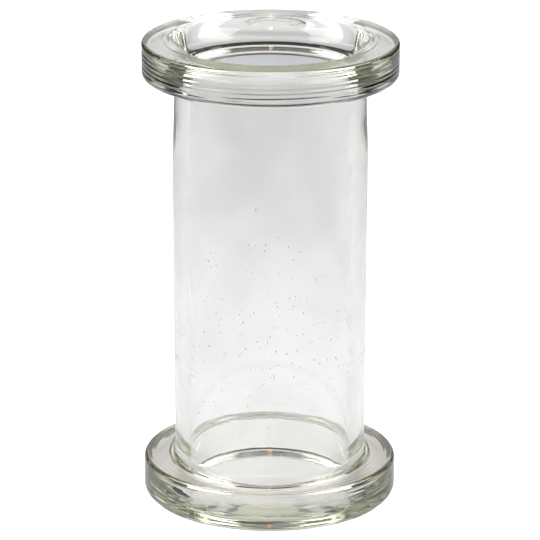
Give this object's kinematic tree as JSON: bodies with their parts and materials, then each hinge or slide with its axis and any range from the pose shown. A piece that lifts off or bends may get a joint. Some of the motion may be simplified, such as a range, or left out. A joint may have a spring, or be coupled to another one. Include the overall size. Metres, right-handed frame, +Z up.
{
  "type": "specimen jar",
  "caption": "Heavy clear glass display cylinder with a thick flange rim, a rounded open mouth and a matching thick flange foot.",
  "frame": {"origin": "centre of the circle on which the foot stands, at table level", "axes": "+Z up along the jar's axis, from the foot to the mouth; X and Y are free, since the jar is round"},
  "size_m": [0.108, 0.108, 0.2],
  "materials": {
    "rim_glass": "clear fire-polished soda-lime glass with a faint olive tint",
    "wall_glass": "clear drawn glass, nearly colourless, with a few small seed bubbles",
    "foot_glass": "clear fire-polished soda-lime glass with a faint olive tint",
    "floor_glass": "thin clear glass"
  },
  "bodies": {
    "root": {"rim_flange": "rim_glass", "cylinder_wall": "wall_glass", "foot_flange": "foot_glass", "floor_disc": "floor_glass"}
  },
  "joints": []
}
